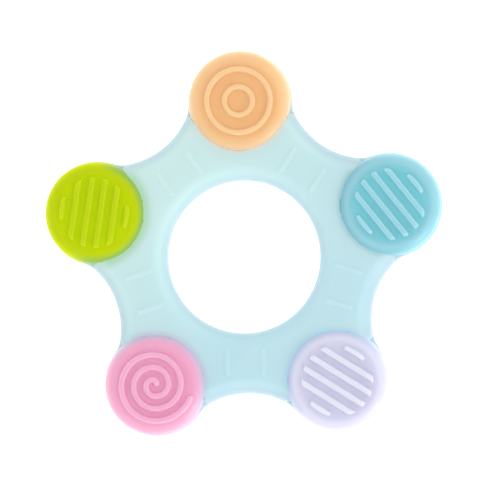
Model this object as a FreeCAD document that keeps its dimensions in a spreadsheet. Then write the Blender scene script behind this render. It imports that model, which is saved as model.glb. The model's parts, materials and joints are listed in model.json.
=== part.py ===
import FreeCAD, Part
import math
import os
import Sketcher

# Teething ring: a soft five-lobed ring with a textured disc held in each lobe.
# Frame: origin at the centre of the grip hole at half the ring's thickness, +Z along
# the hole, +Y towards the orange disc. Both faces are alike about the plane z = 0.

# Driving dimensions, in millimetres unless named otherwise.
DIMENSIONS = {
    "hole_radius": 19.0,
    "ring_thickness": 9.0,
    "ring_edge_radius": 3.5,
    "lobe_count": 5,
    "lobe_reach": 38.5,
    "lobe_radius": 12.2,
    "notch_radius": 20.0,
    "loop_radius": 13.0,
    "loop_thickness": 3.4,
    "loop_edge_radius": 1.2,
    "bridge_rib_spacing": 9.0,
    "bridge_rib_inner": 22.6,
    "bridge_rib_outer": 29.4,
    "bridge_rib_width": 1.2,
    "bridge_rib_height": 0.25,
    "bridge_rib_edge": 0.12,
    "disc_radius": 12.7,
    "disc_thickness": 11.6,
    "disc_shoulder": 3.0,
    "disc_waist_radius": 10.2,
    "circle_rib_width": 1.25,
    "rib_height": 0.7,
    "rib_edge": 0.25,
    "stripe_pitch": 3.28,
    "stripe_width": 1.4,
    "stripe_reach": 8.8,
    "stripe_short_length": 5.7,
    "stripe_corner": 0.35,
    "small_circle_radius": 3.5,
    "large_circle_radius": 7.87,
    "spiral_pitch": 3.05,
    "spiral_first_radius": 0.92,
    "spiral_rib_width": 1.35,
    "spiral_sweep_degrees": 1055.0,
}

# The discs, anticlockwise from +Y: name, pattern, and the turn of the pattern in degrees.
DISCS = [
    ("orange_disc", "circles", 0.0),
    ("lime_disc", "stripes", 80.4),
    ("pink_disc", "spiral", 0.0),
    ("lilac_disc", "stripes", 146.9),
    ("teal_disc", "stripes", 127.4),
]

Z_AXIS = FreeCAD.Vector(0, 0, 1)
START, END, CENTRE = 1, 2, 3
ORIGIN_POINT = (-1, 1)
X_AXIS, Y_AXIS = -1, -2

doc = FreeCAD.newDocument("teething_ring")


def make_sheet():
    """Put every driving dimension in a spreadsheet cell with an alias."""
    sheet = doc.addObject("Spreadsheet::Sheet", "dims")
    for row, (name, size) in enumerate(DIMENSIONS.items(), start=1):
        sheet.set(f"A{row}", name)
        sheet.set(f"B{row}", str(size))
        sheet.setAlias(f"B{row}", name)
    doc.recompute()
    return sheet


dims = make_sheet()


def value(expression):
    """The number an expression over the sheet's cells gives."""
    return float(dims.evalExpression(expression))


def vector(x, y):
    """A point of a sketch, from two expressions."""
    return FreeCAD.Vector(value(x), value(y), 0)


def polar(radius, degrees):
    """A point at a radius and a bearing from the origin."""
    bearing = math.radians(degrees)
    return FreeCAD.Vector(radius * math.cos(bearing), radius * math.sin(bearing), 0)


# ---------------------------------------------------------------- sketch helpers

def origin_feature(body, role):
    """One of a body's own origin planes or axes."""
    return next(item for item in body.Origin.OriginFeatures if item.Role == role)


def new_sketch(body, role, name, turn=0.0):
    """A sketch on one of the body's origin planes, turned about the plane's normal."""
    sketch = body.newObject("Sketcher::SketchObject", name)
    sketch.AttachmentSupport = [(origin_feature(body, role), "")]
    sketch.MapMode = "FlatFace"
    sketch.AttachmentOffset = FreeCAD.Placement(
        FreeCAD.Vector(0, 0, 0), FreeCAD.Rotation(Z_AXIS, turn))
    return sketch


def drive(sketch, kind, places, expression):
    """Add one dimension to a sketch and bind it to the sheet."""
    index = sketch.addConstraint(Sketcher.Constraint(kind, *places, value(expression)))
    sketch.renameConstraint(index, f"size{index}")
    sketch.setExpression(f"Constraints.size{index}", expression)


def place(sketch, geometry, point, x, y):
    """Dimension a point from the sketch's origin by two expressions."""
    here = (geometry, point)
    for kind, expression, axis in (("DistanceX", x, Y_AXIS), ("DistanceY", y, X_AXIS)):
        size = value(expression)
        if abs(size) < 1e-9:
            sketch.addConstraint(Sketcher.Constraint("PointOnObject", *here, axis))
        elif size > 0:
            drive(sketch, kind, ORIGIN_POINT + here, expression)
        else:
            drive(sketch, kind, here + ORIGIN_POINT, f"-({expression})")


def arc_between(start, end, radius):
    """The anticlockwise arc, shorter than half a turn, from one point to another."""
    chord = end - start
    rise = math.sqrt(radius ** 2 - (chord.Length / 2) ** 2)
    side = Z_AXIS.cross(chord).normalize()
    centre = (start + end) * 0.5 + side * rise
    first = math.atan2(start.y - centre.y, start.x - centre.x)
    last = math.atan2(end.y - centre.y, end.x - centre.x)
    return Part.ArcOfCircle(Part.Circle(centre, Z_AXIS, radius), first, last)


def draw_outline(sketch, corners):
    """Close an anticlockwise outline of lines and arcs.

    Each corner is (x, y) or (x, y, radius), all expressions; a corner with a radius
    starts an arc that bulges outwards.
    """
    sides = []
    for number, corner in enumerate(corners):
        start = vector(*corner[:2])
        end = vector(*corners[(number + 1) % len(corners)][:2])
        if len(corner) == 3:
            geometry = sketch.addGeometry(arc_between(start, end, value(corner[2])))
            drive(sketch, "Radius", (geometry,), corner[2])
        else:
            geometry = sketch.addGeometry(Part.LineSegment(start, end))
        place(sketch, geometry, START, *corner[:2])
        sides.append(geometry)
    for geometry, following in zip(sides, sides[1:] + sides[:1]):
        sketch.addConstraint(
            Sketcher.Constraint("Coincident", geometry, END, following, START))


def draw_circle(sketch, radius):
    """A circle about the sketch's origin."""
    circle = Part.Circle(FreeCAD.Vector(0, 0, 0), Z_AXIS, value(radius))
    geometry = sketch.addGeometry(circle)
    sketch.addConstraint(Sketcher.Constraint("Coincident", geometry, CENTRE, *ORIGIN_POINT))
    drive(sketch, "Radius", (geometry,), radius)


def draw_slot(sketch, x, low, high, width):
    """A round-ended slot along the sketch's Y, from tip to tip."""
    radius = f"{width} / 2"
    bottom = (x, f"{low} + {radius}")
    top = (x, f"{high} - {radius}")
    half = FreeCAD.Vector(value(radius), 0, 0)
    circles = [Part.Circle(vector(*end), Z_AXIS, value(radius)) for end in (bottom, top)]
    lower = sketch.addGeometry(Part.ArcOfCircle(circles[0], math.pi, 2 * math.pi))
    right = sketch.addGeometry(Part.LineSegment(vector(*bottom) + half, vector(*top) + half))
    upper = sketch.addGeometry(Part.ArcOfCircle(circles[1], 0, math.pi))
    left = sketch.addGeometry(Part.LineSegment(vector(*top) - half, vector(*bottom) - half))
    sides = (lower, right, upper, left)
    for side, following in zip(sides, sides[1:] + sides[:1]):
        sketch.addConstraint(Sketcher.Constraint("Tangent", side, END, following, START))
    sketch.addConstraint(Sketcher.Constraint("Equal", lower, upper))
    drive(sketch, "Radius", (lower,), radius)
    place(sketch, lower, CENTRE, *bottom)
    place(sketch, upper, CENTRE, *top)


# --------------------------------------------------------------- feature helpers

def pad_both_ways(body, sketch, name, thickness):
    """Pad a sketch on the mid-plane by half the thickness to each side."""
    pad = body.newObject("PartDesign::Pad", name)
    pad.Profile = sketch
    pad.SideType = "Symmetric"
    pad.setExpression("Length", thickness)
    doc.recompute()
    return pad


def turn_about_own_axis(body, sketch, kind, name):
    """Revolve or groove a half section about its sketch's vertical axis."""
    feature = body.newObject(f"PartDesign::{kind}", name)
    feature.Profile = sketch
    feature.ReferenceAxis = (sketch, ["V_Axis"])
    feature.Angle = 360
    doc.recompute()
    return feature


def edges_at_height(shape, height):
    """Names of the edges that lie flat at a height above or below the mid-plane."""
    names = []
    for number, edge in enumerate(shape.Edges, start=1):
        box = edge.BoundBox
        flat = box.ZLength < 1e-6
        if flat and abs(abs(box.ZMax) - height) < 1e-6:
            names.append(f"Edge{number}")
    return names


def upright_edges(shape, above):
    """Names of the edges that stand along Z beyond a height above or below the mid-plane."""
    names = []
    for number, edge in enumerate(shape.Edges, start=1):
        box = edge.BoundBox
        upright = box.XLength < 1e-6 and box.YLength < 1e-6
        if upright and abs(box.Center.z) > above:
            names.append(f"Edge{number}")
    return names


def round_edges(body, base, name, edges, radius):
    """Fillet named edges of a feature."""
    fillet = body.newObject("PartDesign::Fillet", name)
    fillet.Base = (base, edges)
    fillet.setExpression("Radius", radius)
    doc.recompute()
    return fillet


# ------------------------------------------------------------------- shared shapes

DISC_HALF = "dims.disc_thickness / 2"
LOOP_HALF = "dims.loop_thickness / 2"
CROWN = f"{DISC_HALF} + dims.rib_height"


def disc_section(sketch):
    """Half section of a disc: flat faces, round shoulders and a waist groove."""
    rim = "dims.disc_radius"
    flat = "dims.disc_radius - dims.disc_shoulder"
    side = f"{DISC_HALF} - dims.disc_shoulder"
    shoulder = "dims.disc_shoulder"
    waist = "dims.disc_waist_radius"
    draw_outline(sketch, [
        ("0", f"-({DISC_HALF})"),
        (flat, f"-({DISC_HALF})", shoulder),
        (rim, f"-({side})"),
        (rim, f"-({LOOP_HALF})"),
        (waist, f"-({LOOP_HALF})"),
        (waist, LOOP_HALF),
        (rim, LOOP_HALF),
        (rim, side, shoulder),
        (flat, DISC_HALF),
        ("0", DISC_HALF),
    ])


def loop_section(sketch):
    """Half section of the thin round plate that runs around a disc's waist."""
    rim = "dims.loop_radius"
    edge = "dims.loop_edge_radius"
    flat = f"{rim} - {edge}"
    side = f"{LOOP_HALF} - {edge}"
    draw_outline(sketch, [
        ("0", f"-({LOOP_HALF})"),
        (flat, f"-({LOOP_HALF})", edge),
        (rim, f"-({side})"),
        (rim, side, edge),
        (flat, LOOP_HALF),
        ("0", LOOP_HALF),
    ])


# ------------------------------------------------------------------------ the ring

def draw_ring_outline(sketch):
    """Convex lobe arcs joined by concave notch arcs, each tangent to the next."""
    count = int(value("dims.lobe_count"))
    pitch = 360 / count
    reach, lobe, notch = (value(f"dims.{name}")
                          for name in ("lobe_reach", "lobe_radius", "notch_radius"))
    half = math.radians(pitch / 2)
    notch_reach = reach * math.cos(half) + math.sqrt(
        (lobe + notch) ** 2 - (reach * math.sin(half)) ** 2)
    # Bearing of the notch's centre seen from the lobe's centre, off the lobe's axis.
    tangent = math.degrees(math.atan2(
        notch_reach * math.sin(half), notch_reach * math.cos(half) - reach))
    for number in range(count):
        axis = 90 + pitch * number
        middle = axis + pitch / 2
        lobe_circle = Part.Circle(polar(reach, axis), Z_AXIS, lobe)
        notch_circle = Part.Circle(polar(notch_reach, middle), Z_AXIS, notch)
        lobe_ends = [math.radians(axis - tangent), math.radians(axis + tangent)]
        notch_ends = [math.radians(axis + pitch - tangent + 180),
                      math.radians(axis + tangent + 180)]
        sketch.addGeometry(Part.ArcOfCircle(lobe_circle, *lobe_ends))
        sketch.addGeometry(Part.ArcOfCircle(notch_circle, *notch_ends))
    for number in range(count):
        lobe_arc, notch_arc = 2 * number, 2 * number + 1
        next_lobe = (2 * number + 2) % (2 * count)
        sketch.addConstraint(Sketcher.Constraint("Tangent", lobe_arc, END, notch_arc, END))
        sketch.addConstraint(
            Sketcher.Constraint("Tangent", notch_arc, START, next_lobe, START))
        bearing = f"{90 + pitch * number:g} deg"
        place(sketch, lobe_arc, CENTRE,
              f"dims.lobe_reach * cos({bearing})", f"dims.lobe_reach * sin({bearing})")
        drive(sketch, "Radius", (lobe_arc,), "dims.lobe_radius")
        drive(sketch, "Radius", (notch_arc,), "dims.notch_radius")


def make_ring_body():
    """The soft ring: web with grip hole, five waist loops, sockets and bridge ribs."""
    body = doc.addObject("PartDesign::Body", "ring_body")
    web_sketch = new_sketch(body, "XY_Plane", "web_outline")
    draw_ring_outline(web_sketch)
    draw_circle(web_sketch, "dims.hole_radius")
    web = pad_both_ways(body, web_sketch, "web", "dims.ring_thickness")
    web_rims = edges_at_height(web.Shape, value("dims.ring_thickness / 2"))
    round_edges(body, web, "web_rounding", web_rims, "dims.ring_edge_radius")

    loop_sketch = new_sketch(body, "YZ_Plane", "loop_half_section")
    loop_sketch.setExpression("AttachmentOffset.Base.x", "dims.lobe_reach")
    loop_section(loop_sketch)
    loop = turn_about_own_axis(body, loop_sketch, "Revolution", "waist_loop")

    socket_sketch = new_sketch(body, "YZ_Plane", "socket_half_section")
    socket_sketch.setExpression("AttachmentOffset.Base.x", "dims.lobe_reach")
    disc_section(socket_sketch)
    socket = turn_about_own_axis(body, socket_sketch, "Groove", "disc_socket")

    bridge_turn = 180 / value("dims.lobe_count")
    rib_sketch = new_sketch(body, "XY_Plane", "bridge_rib_outline", bridge_turn)
    for side in ("-", ""):
        draw_slot(rib_sketch, f"{side}dims.bridge_rib_spacing / 2", "dims.bridge_rib_inner",
                  "dims.bridge_rib_outer", "dims.bridge_rib_width")
    rib_top = "dims.ring_thickness / 2 + dims.bridge_rib_height"
    ribs = pad_both_ways(body, rib_sketch, "bridge_ribs", f"2 * ({rib_top})")

    pattern = body.newObject("PartDesign::PolarPattern", "five_lobes")
    pattern.Originals = [loop, socket, ribs]
    pattern.Axis = (origin_feature(body, "Z_Axis"), [""])
    pattern.Angle = 360
    pattern.setExpression("Occurrences", "dims.lobe_count")
    body.Tip = pattern
    doc.recompute()
    rib_rims = edges_at_height(pattern.Shape, value(rib_top))
    round_edges(body, pattern, "bridge_rib_rounding", rib_rims, "dims.bridge_rib_edge")
    return body


# ----------------------------------------------------------------------- the discs

def draw_circles(sketch):
    """Two round ribs about the disc's centre."""
    for radius in ("dims.small_circle_radius", "dims.large_circle_radius"):
        draw_circle(sketch, f"{radius} - dims.circle_rib_width / 2")
        draw_circle(sketch, f"{radius} + dims.circle_rib_width / 2")


def draw_stripes(sketch):
    """Six parallel ribs ended by one circle; the outer two are also cut short."""
    reach = "dims.stripe_reach"
    short = "(dims.stripe_short_length / 2)"
    bulge = f"sqrt({reach} ^ 2 - {short} ^ 2)"
    for step in (0.5, 1.5, 2.5):
        near = f"({step} * dims.stripe_pitch - dims.stripe_width / 2)"
        far = f"({step} * dims.stripe_pitch + dims.stripe_width / 2)"
        if value(far) < value(reach):
            near_end = f"sqrt({reach} ^ 2 - {near} ^ 2)"
            far_end = f"sqrt({reach} ^ 2 - {far} ^ 2)"
            draw_outline(sketch, [
                (near, f"-{near_end}", reach), (far, f"-{far_end}"),
                (far, far_end, reach), (near, near_end)])
            draw_outline(sketch, [
                (f"-{far}", f"-{far_end}", reach), (f"-{near}", f"-{near_end}"),
                (f"-{near}", near_end, reach), (f"-{far}", far_end)])
        else:
            draw_outline(sketch, [
                (near, f"-{short}"), (bulge, f"-{short}", reach),
                (bulge, short), (near, short)])
            draw_outline(sketch, [
                (f"-{bulge}", f"-{short}"), (f"-{near}", f"-{short}"),
                (f"-{near}", short), (f"-{bulge}", short, reach)])


def draw_spiral(sketch):
    """One spiral rib of quarter arcs, each about a corner of a small square.

    A quarter arc's radius is a quarter pitch more than the one before it, and the next
    centre steps back by as much along the bearing where the two arcs meet.
    """
    step = value("dims.spiral_pitch / 4")
    half_width = value("dims.spiral_rib_width / 2")
    radius = value("dims.spiral_first_radius")
    sweep = value("dims.spiral_sweep_degrees")
    centre = (polar(1, 90) - polar(1, 0)) * (step / 2)
    bearing = 0.0
    first = (centre, radius, bearing)
    while bearing < sweep:
        last = min(bearing + 90, sweep)
        span = (math.radians(bearing), math.radians(last))
        for offset in (-half_width, half_width):
            circle = Part.Circle(centre, Z_AXIS, radius + offset)
            sketch.addGeometry(Part.ArcOfCircle(circle, *span))
        end = (centre, radius, last)
        centre = centre - polar(step, last)
        radius += step
        bearing = last
    for (middle, reach, turn), lead in ((first, 180), (end, 0)):
        tip = middle + polar(reach, turn)
        cap = [math.radians(turn + lead), math.radians(turn + lead + 180)]
        sketch.addGeometry(Part.ArcOfCircle(Part.Circle(tip, Z_AXIS, half_width), *cap))


PATTERNS = {"circles": draw_circles, "stripes": draw_stripes, "spiral": draw_spiral}


def make_disc(name, pattern, turn, number):
    """One textured disc: turned core, ribs on both faces, and its place in a lobe."""
    body = doc.addObject("PartDesign::Body", name)
    core_sketch = new_sketch(body, "YZ_Plane", f"{name}_half_section")
    disc_section(core_sketch)
    turn_about_own_axis(body, core_sketch, "Revolution", f"{name}_core")
    # A stripe runs along its sketch's Y, so its bearing is a quarter turn off.
    lead = -90 if pattern == "stripes" else 0
    rib_sketch = new_sketch(body, "XY_Plane", f"{name}_rib_outline", turn + lead)
    PATTERNS[pattern](rib_sketch)
    ribs = pad_both_ways(body, rib_sketch, f"{name}_ribs", f"2 * ({CROWN})")
    if pattern == "stripes":
        corners = upright_edges(ribs.Shape, value(DISC_HALF))
        ribs = round_edges(body, ribs, f"{name}_rib_corners", corners, "dims.stripe_corner")
    crowns = edges_at_height(ribs.Shape, value(CROWN))
    round_edges(body, ribs, f"{name}_rib_rounding", crowns, "dims.rib_edge")
    bearing = f"(90 deg + {number} * 360 deg / dims.lobe_count)"
    body.setExpression("Placement.Base.x", f"dims.lobe_reach * cos{bearing}")
    body.setExpression("Placement.Base.y", f"dims.lobe_reach * sin{bearing}")
    doc.recompute()
    return body


# -------------------------------------------------------------------------- output

def check(parts):
    """Stop unless every feature computed and every sub-part is one valid solid."""
    for item in doc.Objects:
        if {"Invalid", "Error"} & set(item.State):
            raise RuntimeError(f"{item.Name} failed: {item.State}")
    for part in parts:
        shape = part.Shape
        if shape.isNull() or not shape.isValid() or len(shape.Solids) != 1:
            raise RuntimeError(f"{part.Label} is not one valid solid")
        print(f"{part.Label}: {shape.Volume / 1000:.3f} cm3, {len(shape.Faces)} faces")


def main():
    parts = [make_ring_body()]
    for number, (name, pattern, turn) in enumerate(DISCS):
        parts.append(make_disc(name, pattern, turn, number))
    doc.recompute()
    check(parts)
    os.makedirs("parts", exist_ok=True)
    for part in parts:
        part.Shape.exportStep(f"parts/{part.Label}.step")


main()
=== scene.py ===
import json
import math

import bpy
import numpy as np
from mathutils import Matrix, Vector


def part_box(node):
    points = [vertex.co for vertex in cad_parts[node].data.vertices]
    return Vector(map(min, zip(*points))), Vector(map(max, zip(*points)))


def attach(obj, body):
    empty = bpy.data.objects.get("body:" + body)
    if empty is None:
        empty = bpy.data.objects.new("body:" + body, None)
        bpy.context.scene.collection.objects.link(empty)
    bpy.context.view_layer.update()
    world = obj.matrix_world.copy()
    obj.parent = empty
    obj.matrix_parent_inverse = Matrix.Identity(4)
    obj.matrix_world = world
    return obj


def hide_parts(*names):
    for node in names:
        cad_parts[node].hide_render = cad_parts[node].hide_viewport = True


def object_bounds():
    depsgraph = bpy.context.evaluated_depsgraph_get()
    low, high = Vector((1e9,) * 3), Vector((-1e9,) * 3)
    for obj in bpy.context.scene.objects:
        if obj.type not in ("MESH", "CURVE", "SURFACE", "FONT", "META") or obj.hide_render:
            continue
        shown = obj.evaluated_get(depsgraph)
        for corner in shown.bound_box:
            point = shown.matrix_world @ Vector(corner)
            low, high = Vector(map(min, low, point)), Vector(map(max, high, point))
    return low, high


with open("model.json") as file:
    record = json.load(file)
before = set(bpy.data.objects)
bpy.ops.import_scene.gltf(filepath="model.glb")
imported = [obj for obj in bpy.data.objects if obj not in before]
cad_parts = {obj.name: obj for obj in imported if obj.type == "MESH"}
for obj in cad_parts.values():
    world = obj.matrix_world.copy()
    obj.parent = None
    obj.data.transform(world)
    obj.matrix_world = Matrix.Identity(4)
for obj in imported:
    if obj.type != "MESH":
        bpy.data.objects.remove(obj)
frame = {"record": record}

CAD_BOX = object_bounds()

# Soft silicone teething ring. Shapes are worked out in millimetres as signed distances
# (negative inside the material) and meshed from them; objects are in metres.
MM = 0.001

# ------------------------------------------------------------------ sizes from the frame

DISC_NAMES = ("orange_disc", "lime_disc", "pink_disc", "lilac_disc", "teal_disc")
# How far the loop stays inside the CAD loop, so that its mesh can't pass the CAD box.
LOOP_MARGIN = 0.02


def box_mm(node):
    """A node's lowest and highest corner in millimetres."""
    low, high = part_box(node)
    return np.array(low) / MM, np.array(high) / MM


def disc_centre(node):
    """The middle of a disc in plan, in millimetres."""
    low, high = box_mm(node)
    return (low[:2] + high[:2]) / 2


DISC_LOW, DISC_HIGH = box_mm("orange_disc")
CROWN = DISC_HIGH[2]
DISC_RADIUS = (DISC_HIGH[0] - DISC_LOW[0]) / 2
LOBE_REACH = disc_centre("orange_disc")[1]
LOBE_ANGLE = 2 * math.pi / len(DISC_NAMES)
LOOP_RADIUS = box_mm("ring_body")[1][1] - LOBE_REACH - LOOP_MARGIN
HOLE_RADIUS = frame["record"]["mounts"][0]["dims"]["r_mm"]

# Sizes that the nodes' boxes don't give, in millimetres. A half is half a height, an edge
# is how far a corner is rounded, and a fillet how far two shapes blend where they meet.
RING_HALF = 4.5
RING_EDGE = 3.9
WEB_LOBE = 12.2
NOTCH = 20.0
# The web's faces fall away by this much at an edge, over this width.
WEB_FALL = 0.3
WEB_FALL_WIDTH = 8.0
# The web stops this far short of a disc's centre. What goes on lies inside the loop's
# faces by the second number.
WEB_STOP = 3.0
WEB_STOP_SUNK = 0.2
WEB_STOP_EDGE = 1.2
LOOP_HALF = 1.7
LOOP_EDGE = 1.2
LOOP_FILLET = 0.9
# How far the ring goes into a disc, as a moulded bond.
BOND = 0.12
DISC_HALF = 5.9
SHOULDER = 3.2
WAIST = 10.2
WAIST_EDGE = 0.3
RIB_WIDTH = 1.25
RIB_EDGE = 0.42
RIB_FILLET = 0.35
STRIPES = 6
STRIPE_PITCH = 3.28
STRIPE_REACH = 8.8
STRIPE_WIDTH = 1.4
STRIPE_SHORT = 5.7
STRIPE_EDGE = 0.5
CIRCLES = (3.5, 7.87)
SPIRAL_PITCH = 3.05
SPIRAL_FIRST = 0.92
SPIRAL_WIDTH = 1.35
SPIRAL_SWEEP = 1055.0
BRIDGE_SPACING = 9.0
BRIDGE_SPAN = (22.6, 29.4)
BRIDGE_WIDTH = 1.2
BRIDGE_HEIGHT = 0.12
BRIDGE_EDGE = 0.4
BRIDGE_FILLET = 0.4


# --------------------------------------------------------------- signed-distance pieces

def ease(value, low, high):
    """0 at low and 1 at high, easing at both ends."""
    share = np.clip((value - low) / (high - low), 0, 1)
    return share * share * (3 - 2 * share)


def smooth_min(a, b, k):
    """Union of two distances with a fillet of about k where they meet."""
    blend = np.clip(0.5 + 0.5 * (b - a) / k, 0, 1)
    return b + (a - b) * blend - k * blend * (1 - blend)


def smooth_max(a, b, k):
    """Intersection of two distances with an edge rounded by about k."""
    return -smooth_min(-a, -b, k)


def rounded_plate(plan, z, half, edge):
    """A plan distance made into a plate of that half thickness with round edges."""
    across = plan + edge
    up = np.abs(z) - half + edge
    outside = np.hypot(np.maximum(across, 0), np.maximum(up, 0))
    return outside + np.minimum(np.maximum(across, up), 0) - edge


def segment(x, y, x0, y0, x1, y1):
    """Distance in plan to a straight line between two points."""
    dx, dy = x1 - x0, y1 - y0
    along = np.clip(((x - x0) * dx + (y - y0) * dy) / (dx * dx + dy * dy), 0, 1)
    return np.hypot(x - x0 - along * dx, y - y0 - along * dy)


def fold(x, y, centre_angle):
    """Fold the plane into one sector: (along its middle line, off it)."""
    angle = np.arctan2(y, x) - centre_angle
    angle = (angle + LOBE_ANGLE / 2) % LOBE_ANGLE - LOBE_ANGLE / 2
    radius = np.hypot(x, y)
    return radius * np.cos(angle), radius * np.sin(angle)


def in_lobe(p):
    """Places in a lobe, from its disc's centre: (outwards, across)."""
    u, v = fold(p[..., 0], p[..., 1], math.pi / 2)
    return u - LOBE_REACH, v


def outline_plan(x, y):
    """Plan distance of the five-lobed outline, of lobe arcs and notch arcs."""
    u, v = fold(x, y, math.pi / 2)
    v = np.abs(v)
    half = LOBE_ANGLE / 2
    notch_reach = LOBE_REACH * math.cos(half) + math.sqrt(
        (WEB_LOBE + NOTCH) ** 2 - (LOBE_REACH * math.sin(half)) ** 2)
    nu, nv = notch_reach * math.cos(half), notch_reach * math.sin(half)
    outer = (nu - LOBE_REACH) * v - nv * (u - LOBE_REACH) < 0
    lobe = np.hypot(u - LOBE_REACH, v) - WEB_LOBE
    notch = NOTCH - np.hypot(u - nu, v - nv)
    return np.where(outer, lobe, notch)


def web_plan(x, y):
    """Plan distance of the web: the outline less the grip hole."""
    return np.maximum(outline_plan(x, y), HOLE_RADIUS - np.hypot(x, y))


def disc_core(rho, z):
    """A disc without its ribs, as a turned shape with round shoulders and a waist."""
    plate = rounded_plate(rho - DISC_RADIUS, z, DISC_HALF, SHOULDER)
    groove = smooth_max(WAIST - rho, np.abs(z) - LOOP_HALF, WAIST_EDGE)
    return smooth_max(plate, -groove, WAIST_EDGE)


def disc_gap(p):
    """Distance to the nearest disc, without its ribs."""
    return disc_core(np.hypot(*in_lobe(p)), p[..., 2])


def web_distance(p):
    """The web: five lobes about the grip hole, ending beside each disc's waist."""
    x, y, z = p[..., 0], p[..., 1], p[..., 2]
    outwards, _ = in_lobe(p)
    plan = web_plan(x, y)
    # The faces fall away a little towards every edge, as a moulded pillow does.
    fall = WEB_FALL * np.clip(1 + plan / WEB_FALL_WIDTH, 0, 1) ** 2
    web = rounded_plate(plan, np.abs(z) + fall, RING_HALF, RING_EDGE)
    # Past a disc's waist only the loop goes on, so the web never thins to a feather.
    stop = np.minimum(outwards + WEB_STOP, np.abs(z) - LOOP_HALF + WEB_STOP_SUNK)
    return smooth_max(web, stop, WEB_STOP_EDGE)


def ring_skin(p):
    """The ring's outside before its sockets: web, waist loops and bridge ribs."""
    x, y, z = p[..., 0], p[..., 1], p[..., 2]
    loop = rounded_plate(np.hypot(*in_lobe(p)) - LOOP_RADIUS, z, LOOP_HALF, LOOP_EDGE)
    solid = smooth_min(web_distance(p), loop, LOOP_FILLET)
    along, across = fold(x, y, math.pi / 2 + LOBE_ANGLE / 2)
    line = segment(along, np.abs(across),
                   BRIDGE_SPAN[0] + BRIDGE_WIDTH / 2, BRIDGE_SPACING / 2,
                   BRIDGE_SPAN[1] - BRIDGE_WIDTH / 2, BRIDGE_SPACING / 2)
    rib = rounded_plate(line - BRIDGE_WIDTH / 2, z, RING_HALF + BRIDGE_HEIGHT, BRIDGE_EDGE)
    return smooth_min(solid, rib, BRIDGE_FILLET)


def socket_wall(p):
    """What the five discs leave of the ring, which is moulded on to them."""
    return -BOND - disc_gap(p)


def ring_distance(p):
    """The aqua ring with its five sockets."""
    return np.maximum(ring_skin(p), socket_wall(p))


def circles_plan(x, y):
    """Plan distance of two round ribs."""
    rho = np.hypot(x, y)
    return np.minimum(*(np.abs(rho - radius) for radius in CIRCLES)) - RIB_WIDTH / 2


def stripes_plan(turn):
    """Plan distance of six ribs ended by one circle, the outer two also cut short."""
    cos, sin = math.cos(math.radians(turn)), math.sin(math.radians(turn))
    half = STRIPES // 2

    def plan(x, y):
        along, across = x * cos + y * sin, y * cos - x * sin
        # The middle of the nearest rib, in pitches from the disc's middle line.
        nearest = np.clip(np.floor(across / STRIPE_PITCH), -half, half - 1) + 0.5
        side = np.abs(across - nearest * STRIPE_PITCH) - STRIPE_WIDTH / 2
        long = smooth_max(side, np.hypot(x, y) - STRIPE_REACH, STRIPE_EDGE)
        short = smooth_max(long, np.abs(along) - STRIPE_SHORT / 2, STRIPE_EDGE)
        return np.where(np.abs(nearest) > half - 1, short, long)

    return plan


def spiral_plan(x, y):
    """Plan distance of one spiral rib of quarter arcs about a small square's corners."""
    step = SPIRAL_PITCH / 4
    cx, cy = -step / 2, step / 2
    radius, bearing = SPIRAL_FIRST, 0.0
    best = None
    while bearing < SPIRAL_SWEEP:
        last = min(bearing + 90, SPIRAL_SWEEP)
        angle = np.degrees(np.arctan2(y - cy, x - cx)) - bearing
        on_arc = angle % 360 <= last - bearing
        arc = np.abs(np.hypot(x - cx, y - cy) - radius)
        ends = [np.hypot(x - cx - radius * math.cos(math.radians(turn)),
                         y - cy - radius * math.sin(math.radians(turn)))
                for turn in (bearing, last)]
        arc = np.where(on_arc, arc, np.minimum(*ends))
        best = arc if best is None else np.minimum(best, arc)
        cx -= step * math.cos(math.radians(last))
        cy -= step * math.sin(math.radians(last))
        radius += step
        bearing = last
    return best - SPIRAL_WIDTH / 2


def disc_distance(plan, centre):
    """One disc with its ribs on both faces, about its own centre."""
    def distance(p):
        x, y, z = p[..., 0] - centre[0], p[..., 1] - centre[1], p[..., 2]
        core = disc_core(np.hypot(x, y), z)
        ribs = rounded_plate(plan(x, y), z, CROWN, RIB_EDGE)
        return smooth_min(core, ribs, RIB_FILLET)
    return distance


# ------------------------------------------------------------------------- meshing

# Grid spacing in millimetres, and the empty cells round a shape.
DISC_GRID = 0.3
RING_GRID = 0.36
GRID_MARGIN = 3
# Slopes are measured over this far to each side, in millimetres.
SLOPE_STEP = 0.02
# How often points are moved to the surface, and the least squared slope to divide by.
SURFACE_PASSES = 4
SURFACE_FLOOR = 0.2
# The same for a crease, and how near it points have to be, in cells.
CREASE_PASSES = 5
CREASE_FLOOR = 0.1
CREASE_REACH = 0.65
# How deep below the outer skin a crease's wall takes its own normals, in millimetres.
CREASE_BLEND = 0.4


def gradient(distance, p):
    """Slope of a distance at points, by central differences."""
    out = np.empty_like(p)
    for axis in range(3):
        shift = np.zeros(3)
        shift[axis] = SLOPE_STEP
        out[:, axis] = (distance(p + shift) - distance(p - shift)) / (2 * SLOPE_STEP)
    return out


def unit_gradient(distance, p):
    """The outward direction of a distance's surface at points."""
    slope = gradient(distance, p)
    return slope / np.linalg.norm(slope, axis=1, keepdims=True)


def snap_to_crease(points, one, two, reach):
    """Move the points that are near both of two surfaces on to the line where they meet."""
    near = (np.abs(one(points)) < reach) & (np.abs(two(points)) < reach)
    edge = points[near]
    for _ in range(CREASE_PASSES):
        a, b = gradient(one, edge), gradient(two, edge)
        fa, fb = one(edge), two(edge)
        aa, bb, ab = (a * a).sum(axis=1), (b * b).sum(axis=1), (a * b).sum(axis=1)
        scale = np.maximum(aa * bb - ab * ab, CREASE_FLOOR)
        edge -= ((fa * bb - fb * ab) / scale)[:, None] * a
        edge -= ((fb * aa - fa * ab) / scale)[:, None] * b
    moved = np.linalg.norm(edge - points[near], axis=1) < 2 * reach
    points[np.flatnonzero(near)[moved]] = edge[moved]


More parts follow.
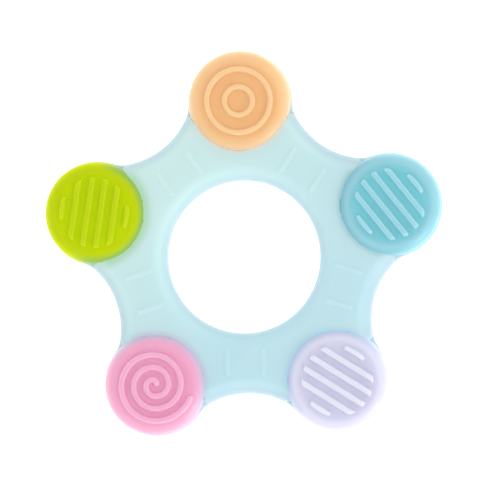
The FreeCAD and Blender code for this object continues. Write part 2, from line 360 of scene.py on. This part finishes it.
def surface_net(distance, low, high, spacing, crease=None):
    """Mesh the zero surface of a distance: one vertex a cell, one quad a crossing."""
    axes = [np.arange(a, b + spacing, spacing) for a, b in zip(low, high)]
    grid = np.stack(np.meshgrid(*axes, indexing="ij"), axis=-1)
    field = distance(grid)
    cells = tuple(n - 1 for n in field.shape)

    def corner(i, j, k):
        return field[i:i + cells[0], j:j + cells[1], k:k + cells[2]]

    # Each cell's vertex starts at the middle of the crossings on the cell's edges.
    total = np.zeros(cells + (3,))
    count = np.zeros(cells)
    corners = [(i, j, k) for i in (0, 1) for j in (0, 1) for k in (0, 1)]
    for a in corners:
        for axis in range(3):
            if a[axis]:
                continue
            b = tuple(1 if n == axis else a[n] for n in range(3))
            fa, fb = corner(*a), corner(*b)
            crossing = (fa < 0) != (fb < 0)
            along = np.where(crossing, fa / np.where(crossing, fa - fb, 1), 0)
            for n in range(3):
                place = a[n] + (along if n == axis else 0)
                total[..., n] += np.where(crossing, place, 0)
            count += crossing
    active = count > 0
    index = np.full(cells, -1)
    index[active] = np.arange(active.sum())
    where = np.argwhere(active)
    points = (where + total[active] / count[active][:, None]) * spacing + grid[0, 0, 0]
    # Each crossing joins the four cells about it.
    quads = []
    for axis in range(3):
        one, two = [n for n in range(3) if n != axis]
        ahead = np.take(field, range(1, field.shape[axis]), axis)
        behind = np.take(field, range(field.shape[axis] - 1), axis)
        edge = np.argwhere((behind < 0) != (ahead < 0))
        ring = []
        for step_one, step_two in ((1, 1), (0, 1), (0, 0), (1, 0)):
            cell = edge.copy()
            cell[:, one] -= step_one
            cell[:, two] -= step_two
            ring.append(index[tuple(cell.T)])
        quad = np.stack(ring, axis=1)
        # Each quad is turned to face from the material to the outside.
        outward = behind[tuple(edge.T)] < 0
        turned = outward == (axis == 1)
        quad[turned] = quad[turned][:, ::-1]
        quads.append(quad)
    quads = np.concatenate(quads)
    for _ in range(SURFACE_PASSES):
        slope = gradient(distance, points)
        size = (slope ** 2).sum(axis=1, keepdims=True)
        points -= distance(points)[:, None] * slope / np.maximum(size, SURFACE_FLOOR)
    if crease:
        snap_to_crease(points, *crease, CREASE_REACH * spacing)
    return points, quads


def points_mm(mesh):
    """A mesh's points, in millimetres."""
    points = np.empty(len(mesh.vertices) * 3, dtype=np.float32)
    mesh.vertices.foreach_get("co", points)
    return points.reshape(-1, 3).astype(float) / MM


def add_mesh(name, distance, low, high, spacing, values, crease=None):
    """An object meshed from a distance, with exact normals and named point values.

    A crease is the two distances that meet in a sharp edge. The first is the outer skin,
    and the edge takes its normals.
    """
    margin = GRID_MARGIN * spacing
    points, quads = surface_net(distance, low - margin, high + margin, spacing, crease)
    mesh = bpy.data.meshes.new(name)
    mesh.from_pydata((points * MM).tolist(), [], quads.tolist())
    slope = unit_gradient(distance, points)
    if crease:
        skin = crease[0]
        share = np.clip(1 + skin(points) / CREASE_BLEND, 0, 1)[:, None]
        slope += (unit_gradient(skin, points) - slope) * share
        slope /= np.linalg.norm(slope, axis=1, keepdims=True)
    mesh.update()
    mesh.polygons.foreach_set("use_smooth", np.ones(len(mesh.polygons), dtype=bool))
    mesh.normals_split_custom_set_from_vertices(slope.tolist())
    for key, function in values.items():
        mesh.attributes.new(key, "FLOAT", "POINT").data.foreach_set(
            "value", function(points).astype(np.float32))
    piece = bpy.data.objects.new(name, mesh)
    bpy.context.scene.collection.objects.link(piece)
    return piece


# ------------------------------------------------------------------------- shader nodes

def linear(red, green, blue):
    """A display colour of 0 to 255 as a linear RGBA colour."""
    def channel(level):
        level /= 255
        return level / 12.92 if level <= 0.04045 else ((level + 0.055) / 1.055) ** 2.4
    return (channel(red), channel(green), channel(blue), 1.0)


def add(tree, kind, inputs=None, **settings):
    """A shader node, with its settings, and its inputs linked or set."""
    node = tree.nodes.new(kind)
    for key, setting in settings.items():
        setattr(node, key, setting)
    for key, source in (inputs or {}).items():
        if isinstance(source, bpy.types.NodeSocket):
            tree.links.new(source, node.inputs[key])
        else:
            node.inputs[key].default_value = source
    return node


def point_value(tree, name):
    """The named number that a mesh carries at its points."""
    return add(tree, "ShaderNodeAttribute", attribute_name=name).outputs["Fac"]


def mix(tree, factor, one, two):
    """A colour between two, by a factor."""
    return add(tree, "ShaderNodeMix", {0: factor, 6: one, 7: two}, data_type="RGBA").outputs[2]


def product(tree, one, two):
    """Two values multiplied."""
    return add(tree, "ShaderNodeMath", {0: one, 1: two}, operation="MULTIPLY").outputs[0]


def fit(tree, source, low, high, to_low=0.0, to_high=1.0):
    """A value moved from one range to another, easing at both ends."""
    node = add(tree, "ShaderNodeMapRange",
               {"Value": source, "From Min": low, "From Max": high,
                "To Min": to_low, "To Max": to_high}, interpolation_type="SMOOTHSTEP")
    return node.outputs["Result"]


def noise(tree, scale, detail=2.0):
    """Noise in the object's own space; scale is in cycles a metre."""
    coordinates = add(tree, "ShaderNodeTexCoord")
    node = add(tree, "ShaderNodeTexNoise",
               {"Vector": coordinates.outputs["Object"], "Scale": scale, "Detail": detail})
    return node.outputs["Fac"]


# ----------------------------------------------------------------------- materials

# Each disc: pattern, then the colours of its rim, of its face between the ribs (its own colour
# deepened as painted shade between the ribs), of its ribs, and of the ribs' rounded edges (a
# painted highlight).
DISCS = {
    "orange_disc": (circles_plan, (253, 201, 145), (253, 195, 135), (252, 202, 149),
                    (252, 207, 161)),
    "lime_disc": (stripes_plan(80.4), (200, 216, 8), (202, 225, 4), (193, 212, 24),
                  (196, 213, 34)),
    "pink_disc": (spiral_plan, (244, 178, 208), (242, 169, 204), (241, 175, 206),
                  (243, 184, 212)),
    "lilac_disc": (stripes_plan(146.9), (222, 220, 241), (215, 215, 236),
                   (225, 226, 244), (229, 230, 246)),
    "teal_disc": (stripes_plan(127.4), (149, 209, 220), (126, 211, 222),
                  (158, 211, 224), (168, 218, 230)),
}
# A disc's colour on its shoulder where the ring's edge lies over it: tinted by the ring and
# darkened as painted shade in the crease between them.
LAP_TINTS_AND_SHADE = {
    "orange_disc": (246, 203, 160),
    "lime_disc": (150, 190, 88),
    "pink_disc": (214, 190, 218),
    "lilac_disc": (198, 209, 238),
    "teal_disc": (134, 196, 210),
}
# That colour's weight, and where it comes in: by the distance from the disc's centre, and
# by how far outwards of it, in millimetres.
LAP_TINT_AND_SHADE_WEIGHT = 0.95
LAP_RHO = (10.5, 12.0)
LAP_OUTWARDS = (3.5, -3.0)
# A finish is the weight of the satin coat and the level of the gloss.
FINISH = {name: (0.8, 0.3) for name in DISC_NAMES}
FINISH["lime_disc"] = (0.0, 0.08)
RING_FINISH = (0.2, 0.3)
# How far light of each colour goes in silicone, as a share of the depth in millimetres.
SOAK_DEPTH = 2.4
DISC_SOAK = (1.0, 1.0, 1.0)
RING_SOAK = (0.8, 1.0, 1.0)
# At a bond the light goes on into the next piece, so the soaking starts this far from it.
SOAK_GAP = 1.3
ROUGHNESS = (0.36, 0.46)
# Noise, in cycles a metre: the mould's fine blasted skin, slow waves where the material
# shrank, patches of shine, and clouds of colour in the discs and in the ring.
SKIN_SCALE = 5200.0
WAVE_SCALE = 160.0
SHINE_SCALE = 420.0
DISC_CLOUD_SCALE = 90.0
RING_CLOUD_SCALE = 60.0
# The face's deeper clouds, as a share of its colour.
DEEP = 0.97
# Where a disc's rim colour comes in, and the paler band painted as a highlight where the face
# turns into the shoulder, in millimetres from the disc's centre.
RIM_RHO = (7.6, 11.0)
HIGHLIGHT_BAND_START = (9.4, 10.5)
HIGHLIGHT_BAND_END = (11.9, 10.8)
HIGHLIGHT_BAND_WEIGHT = 0.6
# Where a rib's colours come in, in millimetres from its side, negative on the rib: the painted
# highlight of its rounded edges, then its own colour towards the middle.
RIB_START = (0.12, -0.12)
RIB_MIDDLE = (-0.1, -0.45)

RING_TOP = (211, 237, 235)
RING_BOTTOM = (194, 227, 238)
# A darker, greyer colour painted as shade on the ring's rounded edges.
RING_EDGE_SHADE = (178, 203, 214)
# The ring is greener this way, from the first place along it to the second, in millimetres.
GREENER = (-0.6, 0.7)
GREENER_SPAN = (-32.0, 34.0)
RING_CLOUD_WEIGHT = 0.25
# Where the painted shade of the ring's rounded edges goes out and comes in, in millimetres
# inside the outline. The grip hole counts as this much further off.
EDGE_SHADE_SPAN = (3.2, 0.3)
EDGE_SHADE_WEIGHT = 0.8
HOLE_FURTHER = 0.9
# What each disc's colour does to the ring beside it, a tint with painted shade in the crease:
# colour, reach in mm, and strength.
STAINS_AND_SHADE = {
    "orange_disc": ((236, 226, 206), 1.2, 0.3),
    "lime_disc": ((172, 222, 178), 2.6, 0.75),
    "pink_disc": ((196, 200, 226), 1.6, 0.65),
    "lilac_disc": ((178, 224, 252), 1.4, 0.75),
    "teal_disc": ((150, 210, 222), 1.3, 0.65),
}
# The stain and its painted shade fade by this share of their reach where the web runs out
# beside the disc, over these places outwards of the disc's centre, in millimetres.
STAIN_AND_SHADE_FADE = 0.6
STAIN_AND_SHADE_FADE_OUTWARDS = (-7.5, -3.5)
# The thin loop shows the disc's own colour through it: how strongly, and where the loop
# begins, by the distance from the web and outwards of the disc's centre, in millimetres.
LOOP_STAIN = 0.95
LOOP_OFF_WEB = (0.1, 0.8)
LOOP_OUTWARDS = (-4.0, 1.0)


def silicone(name, paint, radius, coat, gloss):
    """Soft moulded silicone: painted colour, light that soaks in, a fine satin skin."""
    material = bpy.data.materials.new(name)
    material.use_nodes = True
    tree = material.node_tree
    tree.nodes.clear()
    waves = add(tree, "ShaderNodeBump", {
        "Height": noise(tree, WAVE_SCALE), "Strength": 0.12, "Distance": 0.0004})
    skin = add(tree, "ShaderNodeBump", {
        "Height": noise(tree, SKIN_SCALE, 3.0), "Strength": 0.25, "Distance": 0.00003,
        "Normal": waves.outputs["Normal"]})
    shader = add(tree, "ShaderNodeBsdfPrincipled", {
        "Base Color": paint(tree),
        "Roughness": fit(tree, noise(tree, SHINE_SCALE, 3.0), 0.3, 0.7, *ROUGHNESS),
        "IOR": 1.41,
        "Subsurface Weight": fit(tree, point_value(tree, "bond_gap"), 0.0, SOAK_GAP),
        "Subsurface Radius": radius,
        "Subsurface Scale": SOAK_DEPTH * MM,
        "Normal": skin.outputs["Normal"],
        "Specular IOR Level": gloss,
        "Coat Weight": coat,
        "Coat Roughness": 0.3})
    output = add(tree, "ShaderNodeOutputMaterial")
    tree.links.new(shader.outputs["BSDF"], output.inputs["Surface"])
    return material


def paint_disc(rim, face, rib, rib_edge_highlight, lap_tint_and_shade):
    """A disc's colour: on its face, deepened as painted shade between the ribs, round its rim
    with a painted highlight band, under the ring's lap with its tint and painted shade, and on
    its ribs with a painted highlight on their edges.
    """
    def paint(tree):
        # The face between the ribs: the disc's own colour deepened as painted shade there,
        # with clouds of tone.
        cloud = fit(tree, noise(tree, DISC_CLOUD_SCALE), 0.35, 0.65)
        deep = tuple(c * DEEP for c in linear(*face)[:3]) + (1.0,)
        floor = mix(tree, cloud, linear(*face), deep)
        rho = point_value(tree, "rho")
        base = mix(tree, fit(tree, rho, *RIM_RHO), floor, linear(*rim))
        # A painted highlight: a paler ring in the ribs' colour where the face turns into the
        # shoulder.
        highlight_band = product(tree, fit(tree, rho, *HIGHLIGHT_BAND_START),
                       fit(tree, rho, *HIGHLIGHT_BAND_END, 0.0, HIGHLIGHT_BAND_WEIGHT))
        base = mix(tree, highlight_band, base, linear(*rib))
        # The shoulder beside the ring: the ring's tint, and painted shade in the crease.
        base = mix(tree, point_value(tree, "lap_tint_and_shade"), base, linear(*lap_tint_and_shade))
        plan = point_value(tree, "rib")
        # The rib's rounded edges carry a painted highlight, paler than its middle.
        top = mix(tree, fit(tree, plan, *RIB_MIDDLE), linear(*rib_edge_highlight), linear(*rib))
        return mix(tree, fit(tree, plan, *RIB_START), base, top)
    return paint


def paint_ring(tree):
    """The ring's colour: greener at the top left, with painted shade on its rounded edges,
    stained by the discs with painted shade in the creases beside them.
    """
    height = fit(tree, point_value(tree, "up"), *GREENER_SPAN)
    base = mix(tree, height, linear(*RING_BOTTOM), linear(*RING_TOP))
    cloud = fit(tree, noise(tree, RING_CLOUD_SCALE), 0.35, 0.65, 0.0, RING_CLOUD_WEIGHT)
    base = mix(tree, cloud, base, linear(*RING_TOP))
    # Painted shade: the ring's rounded edges darker and greyer.
    edge = fit(tree, point_value(tree, "edge"), *EDGE_SHADE_SPAN, 0.0, EDGE_SHADE_WEIGHT)
    base = mix(tree, edge, base, linear(*RING_EDGE_SHADE))
    # The discs' tint on the ring beside them, with painted shade in the creases.
    stain_and_shade = add(tree, "ShaderNodeAttribute", attribute_name="stain_and_shade")
    near = fit(tree, point_value(tree, "stain_and_shade_gap"), 1.0, 0.0)
    amount = product(tree, near, stain_and_shade.outputs["Alpha"])
    return mix(tree, amount, base, stain_and_shade.outputs["Color"])


# -------------------------------------------------------------------------- pieces

def make_disc(name):
    """One disc, meshed about its own lobe's centre."""
    plan, *colours = DISCS[name]
    centre = disc_centre(name)
    low, high = box_mm(name)

    def rho(p):
        return np.hypot(p[:, 0] - centre[0], p[:, 1] - centre[1])

    def rib(p):
        return plan(p[:, 0] - centre[0], p[:, 1] - centre[1])

    # Where the shoulder beside the ring takes the ring's tint and painted shade.
    def lap_tint_and_shade(p):
        outwards, _ = in_lobe(p)
        return LAP_TINT_AND_SHADE_WEIGHT * ease(rho(p), *LAP_RHO) * ease(outwards, *LAP_OUTWARDS)

    piece = add_mesh(name + "_soft", disc_distance(plan, centre), low, high, DISC_GRID,
                     {"rho": rho, "rib": rib, "bond_gap": web_distance, "lap_tint_and_shade": lap_tint_and_shade})
    piece.data.materials.append(
        silicone(name + "_silicone", paint_disc(*colours, LAP_TINTS_AND_SHADE[name]), DISC_SOAK,
                 *FINISH[name]))
    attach(piece, "root")
    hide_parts(name)


def per_lobe(p, values):
    """For each point, its own lobe's row of values, which follow DISC_NAMES."""
    angle = np.arctan2(p[:, 1], p[:, 0]) - math.pi / 2
    return np.array(values)[np.rint(angle / LOBE_ANGLE).astype(int) % len(DISC_NAMES)]


def edge_depth(p):
    """How far points are inside the outline and the grip hole's edge."""
    x, y = p[:, 0], p[:, 1]
    return np.minimum(-outline_plan(x, y), np.hypot(x, y) - HOLE_RADIUS + HOLE_FURTHER)


def greener(p):
    """How far points are towards the greener side."""
    return GREENER[0] * p[:, 0] + GREENER[1] * p[:, 1]


def on_loop(p):
    """1 on a waist loop's bare outer part and 0 on the web."""
    outwards, _ = in_lobe(p)
    return ease(web_distance(p), *LOOP_OFF_WEB) * ease(outwards, *LOOP_OUTWARDS)


def stain_and_shade_gap(p):
    """How far points are from a disc, as a share of the reach of its stain and painted shade.
    """
    outwards, _ = in_lobe(p)
    reach = per_lobe(p, [STAINS_AND_SHADE[name][1] for name in DISC_NAMES])
    fade = STAIN_AND_SHADE_FADE * ease(outwards, *STAIN_AND_SHADE_FADE_OUTWARDS)
    return (disc_gap(p) / reach + fade) * (1 - on_loop(p))


def stain_and_shade_colour(p):
    """The colour and strength of the stain and painted shade at points."""
    stains_and_shade = per_lobe(p, [linear(*STAINS_AND_SHADE[name][0])[:3] + (STAINS_AND_SHADE[name][2],)
                          for name in DISC_NAMES])
    rims = per_lobe(p, [linear(*DISCS[name][1])[:3] + (LOOP_STAIN,) for name in DISC_NAMES])
    return stains_and_shade + (rims - stains_and_shade) * on_loop(p)[:, None]


def make_ring():
    """The aqua ring, with the values that its colour is worked out from."""
    low, high = box_mm("ring_body")
    piece = add_mesh("ring_soft", ring_distance, low, high, RING_GRID,
                     {"edge": edge_depth, "up": greener, "bond_gap": disc_gap,
                      "stain_and_shade_gap": stain_and_shade_gap},
                     (ring_skin, socket_wall))
    mesh = piece.data
    mesh.attributes.new("stain_and_shade", "FLOAT_COLOR", "POINT").data.foreach_set(
        "color", stain_and_shade_colour(points_mm(mesh)).astype(np.float32).ravel())
    mesh.materials.append(silicone("ring_silicone", paint_ring, RING_SOAK, *RING_FINISH))
    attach(piece, "root")
    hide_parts("ring_body")


# --------------------------------------------------------------------------- stage

# Lengths of the stage are in metres, and angles in degrees.
FLOOR_HALF = 3.0
FLOOR_DROP = 0.01 * MM
# The surround's strength, by how far up a direction points and by how far towards the
# upper left: from, to, and the strengths there.
SURROUND_UP = (0.6, 1.0, 1.11, 0.75)
SURROUND_LEFT = (-0.9, 0.9, 1.02, 0.92)
UPPER_LEFT = (-0.74, 0.67, 0.0)
KEY_PLACE = (0.55, -0.5, 0.30)
KEY_SIZE = 0.2
KEY_POWER = 1.0
VIEW_DISTANCE = 0.52
VIEW_TILT = 4.6
VIEW_BEARING = 20.0
VIEW_ROLL = 1.5
FRAME_WIDTH = 0.1248
SENSOR_MM = 36.0
AIM = (0.0015, 0.0017)


def make_floor():
    """A plain white floor, lit a little from below as a light table is."""
    mesh = bpy.data.meshes.new("floor")
    size = FLOOR_HALF
    z = CAD_BOX[0][2] - FLOOR_DROP
    corners = [(-size, -size, z), (size, -size, z), (size, size, z), (-size, size, z)]
    mesh.from_pydata(corners, [], [(0, 1, 2, 3)])
    floor = bpy.data.objects.new("floor", mesh)
    bpy.context.scene.collection.objects.link(floor)
    material = bpy.data.materials.new("floor_white")
    material.use_nodes = True
    tree = material.node_tree
    tree.nodes.clear()
    shader = add(tree, "ShaderNodeBsdfPrincipled", {
        "Base Color": (0.9, 0.9, 0.9, 1.0), "Roughness": 0.9, "Specular IOR Level": 0.1,
        "Emission Color": (1.0, 1.0, 1.0, 1.0), "Emission Strength": 0.6})
    output = add(tree, "ShaderNodeOutputMaterial")
    tree.links.new(shader.outputs["BSDF"], output.inputs["Surface"])
    mesh.materials.append(material)


def make_surround():
    """A white surround, brightest at the lower right and dimmer overhead."""
    world = bpy.data.worlds.new("studio")
    world.use_nodes = True
    tree = world.node_tree
    background = tree.nodes["Background"]
    background.inputs["Color"].default_value = (1.0, 1.0, 1.0, 1.0)
    direction = add(tree, "ShaderNodeTexCoord").outputs["Generated"]
    up = add(tree, "ShaderNodeSeparateXYZ", {0: direction}).outputs["Z"]
    left = add(tree, "ShaderNodeVectorMath", {0: direction, 1: UPPER_LEFT},
               operation="DOT_PRODUCT").outputs["Value"]
    strength = product(tree, fit(tree, up, *SURROUND_UP), fit(tree, left, *SURROUND_LEFT))
    tree.links.new(strength, background.inputs["Strength"])
    bpy.context.scene.world = world
    bpy.context.scene.view_settings.view_transform = "Standard"


def make_key():
    """A low square soft light that looks at the object."""
    data = bpy.data.lights.new("key", "AREA")
    data.shape = "SQUARE"
    data.size = KEY_SIZE
    data.energy = KEY_POWER
    light = bpy.data.objects.new("key", data)
    light.location = KEY_PLACE
    light.rotation_euler = (-Vector(KEY_PLACE)).to_track_quat("-Z", "Y").to_euler()
    bpy.context.scene.collection.objects.link(light)


def make_camera():
    """A long lens almost straight above, tilted towards +X and a little towards -Y."""
    data = bpy.data.cameras.new("camera")
    data.sensor_width = SENSOR_MM
    data.lens = data.sensor_width * VIEW_DISTANCE / FRAME_WIDTH
    data.clip_start = 0.01
    camera = bpy.data.objects.new("camera", data)
    tilt, bearing, roll = (
        math.radians(angle) for angle in (VIEW_TILT, VIEW_BEARING, VIEW_ROLL))
    axis = Vector((math.sin(bearing), math.cos(bearing), 0.0))
    turn = Matrix.Rotation(tilt, 4, axis) @ Matrix.Rotation(-roll, 4, "Z")
    aim = Vector((*AIM, 0.0))
    camera.matrix_world = (Matrix.Translation(aim) @ turn
                           @ Matrix.Translation((0, 0, VIEW_DISTANCE)))
    bpy.context.scene.collection.objects.link(camera)
    bpy.context.scene.camera = camera


for disc_name in DISC_NAMES:
    make_disc(disc_name)
make_ring()
make_floor()
make_surround()
make_key()
make_camera()

bpy.context.view_layer.update()
